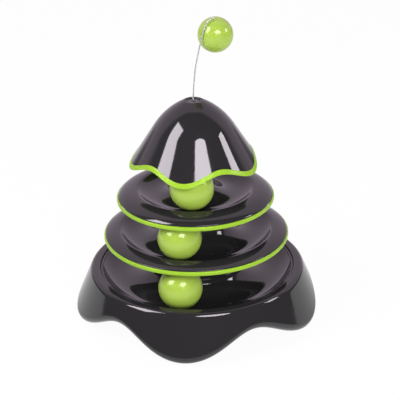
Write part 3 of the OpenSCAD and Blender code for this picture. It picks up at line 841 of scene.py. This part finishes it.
# %% Ball on the wire
TOP_BALL = Vector((19.2, 14.7, 264.5))
TIP = Vector((-0.04, -0.34, 0.94)).normalized()
TOP_BALL_R, TOP_BALL_T, TOP_HOLE_R = 16.0, 1.6, WIRE_R + 0.06
swing_to_tip = Matrix.Rotation(math.atan2(TIP.y, TIP.x), 4, "Z")
lean_to_tip = Matrix.Rotation(math.acos(TIP.z), 4, "Y")
on_tip = Matrix.Translation(TOP_BALL * MM) @ swing_to_tip @ lean_to_tip
ball(TOP_BALL_R, TOP_BALL_T, on_tip, "top_ball", "top_ball_upper_half", "top_ball_lower_half", TOP_HOLE_R)

# %% [markdown]
# ## The wire's path
# The wire is one steel rod that stands in the plug, leans as it rises and hooks over into the ball. A bender
# would set out a few points and let the wire run smoothly between them. The curve here does the same: it
# passes every point, and at each of them it heads from the point before to the point after.

# %% Wire path
HOOK_REACH, END_REACH = 17.2, 8.5
WIRE_POINTS = [
    (0, 0, WIRE_FOOT_Z), (0, 0, 203), (0.1, 0, 211), (0.6, 0.08, 219.5), (1.35, 0.18, 228),
    (2.3, 0.31, 236.5), (3.35, 0.45, 242.5), (4.5, 0.62, 248.4), (7.1, 1.0, 260), (9.6, 1.4, 269.5),
    (11.5, 2.9, 275.0), (13.3, 5.2, 278.7), (15.5, 7.2, 280.7), (17.3, 8.3, 281.3),
    tuple(TOP_BALL + HOOK_REACH * TIP), tuple(TOP_BALL + END_REACH * TIP)]


def through(points, count=12):
    """Points on a smooth curve that passes every given point."""
    p = [Vector(q) for q in (points[0], *points, points[-1])]
    path = []
    for a, b, c, d in zip(p, p[1:], p[2:], p[3:]):
        pull, sag, twist = c - a, 2 * a - 5 * b + 4 * c - d, 3 * b - a - 3 * c + d
        for t in [i / count for i in range(count)]:
            path.append(0.5 * (2 * b + pull * t + sag * t ** 2 + twist * t ** 3))
    return path + [p[-1]]


route = through(WIRE_POINTS)
print("wire path of", round(sum((b - a).length for a, b in zip(route, route[1:])), 1), "mm")

# %% [markdown]
# ## The wire
# Geometry Nodes sweep a circle along the path. The frame bends the wire at two hinges, and a rod that bends
# has no kink. Here the wire is made in two lengths, cut at one height, but neither is set on a body, so
# neither follows a hinge. The stop bead on the wire's end is kept from the CAD model.

# %% Wire
SPLIT_Z = 226.0


def swept_rod():
    """Tree that sweeps a circle along the seed's edges."""
    tree, given, out = new_tree(
        "swept_rod", "GeometryNodeTree",
        [("Path", "NodeSocketGeometry"), ("Radius", "NodeSocketFloat"), ("Material", "NodeSocketMaterial")],
        [("Mesh", "NodeSocketGeometry")])
    line = node(tree, "GeometryNodeMeshToCurve", {0: given["Path"]})
    circle = node(tree, "GeometryNodeCurvePrimitiveCircle", {"Resolution": 20, "Radius": given["Radius"]})
    rod = node(tree, "GeometryNodeCurveToMesh", {"Curve": line.outputs[0], "Profile Curve": circle.outputs[0],
                                                 "Fill Caps": True})
    smooth = node(tree, "GeometryNodeSetShadeSmooth", {"Geometry": rod.outputs[0]})
    tree.links.new(coated(tree, smooth.outputs[0], given["Material"]), out[0])
    return tree


ROD = swept_rod()


def rod(name, path):
    """A length of wire along a path in millimetres."""
    seed = bpy.data.meshes.new(name + "_path")
    seed.from_pydata([q * MM for q in path], [(i, i + 1) for i in range(len(path) - 1)], [])
    return grown(name, seed, ROD, Radius=WIRE_R * MM, Material=STEEL)


cut = next(i for i, q in enumerate(route) if q.z > SPLIT_Z)
wire_foot = rod("wire_foot_skin", route[:cut + 1])
wire_arm = rod("wire_arm_skin", route[cut:])
for piece, nodes in ((wire_foot, ["wire_foot"]), (wire_arm, ["wire_lower", "wire_upper", "wire_tip"])):
    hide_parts(*nodes)
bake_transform(wire_foot)
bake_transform(wire_arm)
coat_node("wire_stop_bead", STEEL)
print("wire cut at step", cut, "of", len(route))

# %% [markdown]
# ## The floor
# The photograph shows the toy on paper so bright that it is pure white. A surface lit that strongly would
# throw too much light back at the toy. So the floor glows white where it is looked at, also in a reflection,
# and is plain grey paper to all other light. A small share of paper stays in view and keeps the shadow.

# %% Floor
WHITE_SHARE, WHITE_GLOW = 0.94, 1.02


def looked_at(tree):
    """One for the rays that show a surface: straight from the camera, mirrored, or through a clear piece."""
    ray = node(tree, "ShaderNodeLightPath").outputs
    mirrored = sum_up(tree, "MAXIMUM", ray["Is Glossy Ray"], ray["Is Transmission Ray"])
    return sum_up(tree, "MAXIMUM", ray["Is Camera Ray"], mirrored)


def floor():
    """A pale floor that stays white to the camera and keeps the toy's shadow."""
    mesh = bpy.data.meshes.new("floor")
    mesh.from_pydata([(-20, -20, 0), (20, -20, 0), (20, 20, 0), (-20, 20, 0)], [], [(0, 1, 2, 3)])
    made, tree, surface, place = shader("floor_paper")
    grain = node(tree, "ShaderNodeTexNoise", {"Vector": place, "Scale": 300.0, "Detail": 2.0})
    paper = two_tone(tree, grain.outputs[0], (0.60, 0.60, 0.60, 1), (0.64, 0.64, 0.64, 1))
    tree.links.new(paper, surface.inputs["Base Color"])
    surface.inputs["Roughness"].default_value = 0.9
    surface.inputs["Specular IOR Level"].default_value = 0.1
    glow = node(tree, "ShaderNodeEmission", {"Color": (1, 1, 1, 1), "Strength": WHITE_GLOW})
    share = sum_up(tree, "MULTIPLY", looked_at(tree), WHITE_SHARE)
    mix = node(tree, "ShaderNodeMixShader", {0: share, 1: surface.outputs[0], 2: glow.outputs[0]})
    tree.links.new(mix.outputs[0], tree.nodes["Material Output"].inputs["Surface"])
    made.cycles.emission_sampling = "NONE"
    mesh.materials.append(made)
    made_floor = bpy.data.objects.new("floor", mesh)
    bpy.context.collection.objects.link(made_floor)
    return made_floor


white_floor = floor()
print("floor shows", WHITE_SHARE, "of its white")

# %% [markdown]
# ## The tent
# Shiny black shows what stands round it more than its own colour. Here that is a tent of white cloth, pale
# behind the toy and dim on the camera's side. So the black reads grey where it curves away and nearly black
# in front. The tent is turned on the same lathe, and its brightness is a rule on the direction.

# %% Tent
TENT_R, TENT_T = 2200, 10
TENT_TINT, TENT_DIM, TENT_PALE = (1.0, 0.84, 1.0, 1), 0.08, 0.78
front = Vector((math.sin(CAMERA_TURN), -math.cos(CAMERA_TURN), 0))


def glowing(name, colour):
    """A material that only glows, with its tree and its glow. It shows, but is not used as a lamp."""
    made = bpy.data.materials.new(name)
    made.use_nodes = True
    tree = made.node_tree
    tree.nodes.remove(tree.nodes["Principled BSDF"])
    glow = node(tree, "ShaderNodeEmission", {"Color": colour})
    tree.links.new(glow.outputs[0], tree.nodes["Material Output"].inputs["Surface"])
    made.cycles.emission_sampling = "NONE"
    return made, tree, glow


def tent():
    """A large dome round the set, pale behind the toy, which only reflections and soft light see."""
    made, tree, glow = glowing("tent_cloth", TENT_TINT)
    spot = node(tree, "ShaderNodeTexCoord").outputs["Object"]
    way = node(tree, "ShaderNodeVectorMath", {0: spot}, operation="NORMALIZE").outputs[0]
    height = split(tree, way)[2]
    flat = sum_up(tree, "SUBTRACT", 1.0, sum_up(tree, "MULTIPLY", height, height))
    level = sum_up(tree, "SQRT", sum_up(tree, "MAXIMUM", flat, 0.0001))
    ahead = node(tree, "ShaderNodeVectorMath", {0: way, 1: front}, operation="DOT_PRODUCT").outputs["Value"]
    ahead = sum_up(tree, "DIVIDE", ahead, level)

    def ramp(value, start, end, low, high):
        feeds = {"Value": value, "From Min": start, "From Max": end, "To Min": low, "To Max": high}
        return node(tree, "ShaderNodeMapRange", feeds, interpolation_type="SMOOTHSTEP").outputs[0]

    narrower_below = ramp(height, 0.10, 0.28, 0.55, 0.0)
    behind = ramp(sum_up(tree, "ADD", ahead, narrower_below), -0.10, -0.36, 0.0, 1.0)
    tree.links.new(sum_up(tree, "MULTIPLY_ADD", behind, TENT_PALE, TENT_DIM), glow.inputs["Strength"])
    rows = arc((0, 0), TENT_R, 0, 90, 24) + [(0, TENT_R)] + arc((0, 0), TENT_R + TENT_T, 90, 0, 24)
    cloth = turned("tent", rows, made, Steps=96)
    cloth.visible_camera = False
    cloth.visible_shadow = False
    return cloth


tent()
print("tent of", TENT_R * MM, "m")

# %% [markdown]
# ## The soft boxes
# Three soft boxes hang in front: one on each side and a round one near the middle. They draw the streaks on
# the dome and the spots on the balls, and a wide, low fill opens the shadows. Each box is a lamp for its
# light and a card for its reflection, because a lamp that also shows in a shiny ball speckles the picture.

# %% Soft boxes
LAMP_AIM = Vector((0, 0, 0.12))
SHEEN_TINT = (1.0, 0.93, 1.0, 1.0)
right = Vector((math.cos(CAMERA_TURN), math.sin(CAMERA_TURN), 0))


def lamp_card(name, outline, radiance):
    """The bright cloth of a soft box, which shows only in reflections."""
    mesh = bpy.data.meshes.new(name)
    mesh.from_pydata(outline, [], [range(len(outline))])
    made, _, glow = glowing(name, SHEEN_TINT)
    glow.inputs["Strength"].default_value = radiance
    mesh.materials.append(made)
    card = bpy.data.objects.new(name, mesh)
    card.visible_camera = card.visible_diffuse = card.visible_shadow = False
    bpy.context.collection.objects.link(card)


def soft_box(name, azimuth, elevation, distance, width, height, light, sheen=0.0, corners=4):
    """A soft box that faces the tower: a lamp for its light and a card for its reflection."""
    azimuth, elevation = math.radians(azimuth), math.radians(elevation)
    way = math.cos(elevation) * (math.cos(azimuth) * front + math.sin(azimuth) * right)
    way += Vector((0, 0, math.sin(elevation)))
    place = Matrix.Translation(LAMP_AIM + distance * way) @ way.to_track_quat("Z", "Y").to_matrix().to_4x4()
    lamp = bpy.data.lights.new(name, "AREA")
    lamp.shape = "RECTANGLE" if corners == 4 else "ELLIPSE"
    lamp.size, lamp.size_y = width, height
    lamp.energy = light * math.pi * width * height * (1.0 if corners == 4 else math.pi / 4)
    box = bpy.data.objects.new(name, lamp)
    box.matrix_world = place
    box.visible_glossy = False
    bpy.context.collection.objects.link(box)
    print(name, "gives", round(lamp.energy, 1), "watts")
    if sheen:
        spread = 1 / math.cos(math.pi / 4) if corners == 4 else 1.0
        half_w, half_h = width / 2 * spread, height / 2 * spread
        turns = [2 * math.pi * (i + 0.5) / corners for i in range(corners)]
        outline = [place @ Vector((half_w * math.cos(t), half_h * math.sin(t), 0)) for t in turns]
        lamp_card(name + "_card", outline, sheen)


# azimuth, elevation, distance, width, height, light, sheen
soft_box("soft_box_left", -66.5, 41, 1.25, 0.52, 0.74, 9.2, 13.9)
soft_box("soft_box_middle", 16.5, 37, 1.30, 0.70, 0.46, 7.5, 16.4, corners=48)
soft_box("soft_box_right", 84.5, 27, 1.25, 0.28, 0.32, 6.5, 13.0)
soft_box("front_fill", 24, 6, 1.60, 1.20, 0.60, 6.5)

# %% [markdown]
# ## The white room
# Beyond the floor the camera looks into the room, which has to be as white as the paper. Like the floor it is
# white only where it is looked at, and so it adds no light of its own to the toy.

# %% White room
world = bpy.data.worlds.new("white_room")
world.use_nodes = True
bpy.context.scene.world = world
white = world.node_tree.nodes["Background"]
white.inputs["Color"].default_value = (1, 1, 1, 1)
world.node_tree.links.new(looked_at(world.node_tree), white.inputs["Strength"])
bpy.context.scene.view_settings.view_transform = "Standard"
print("room:", world.name)
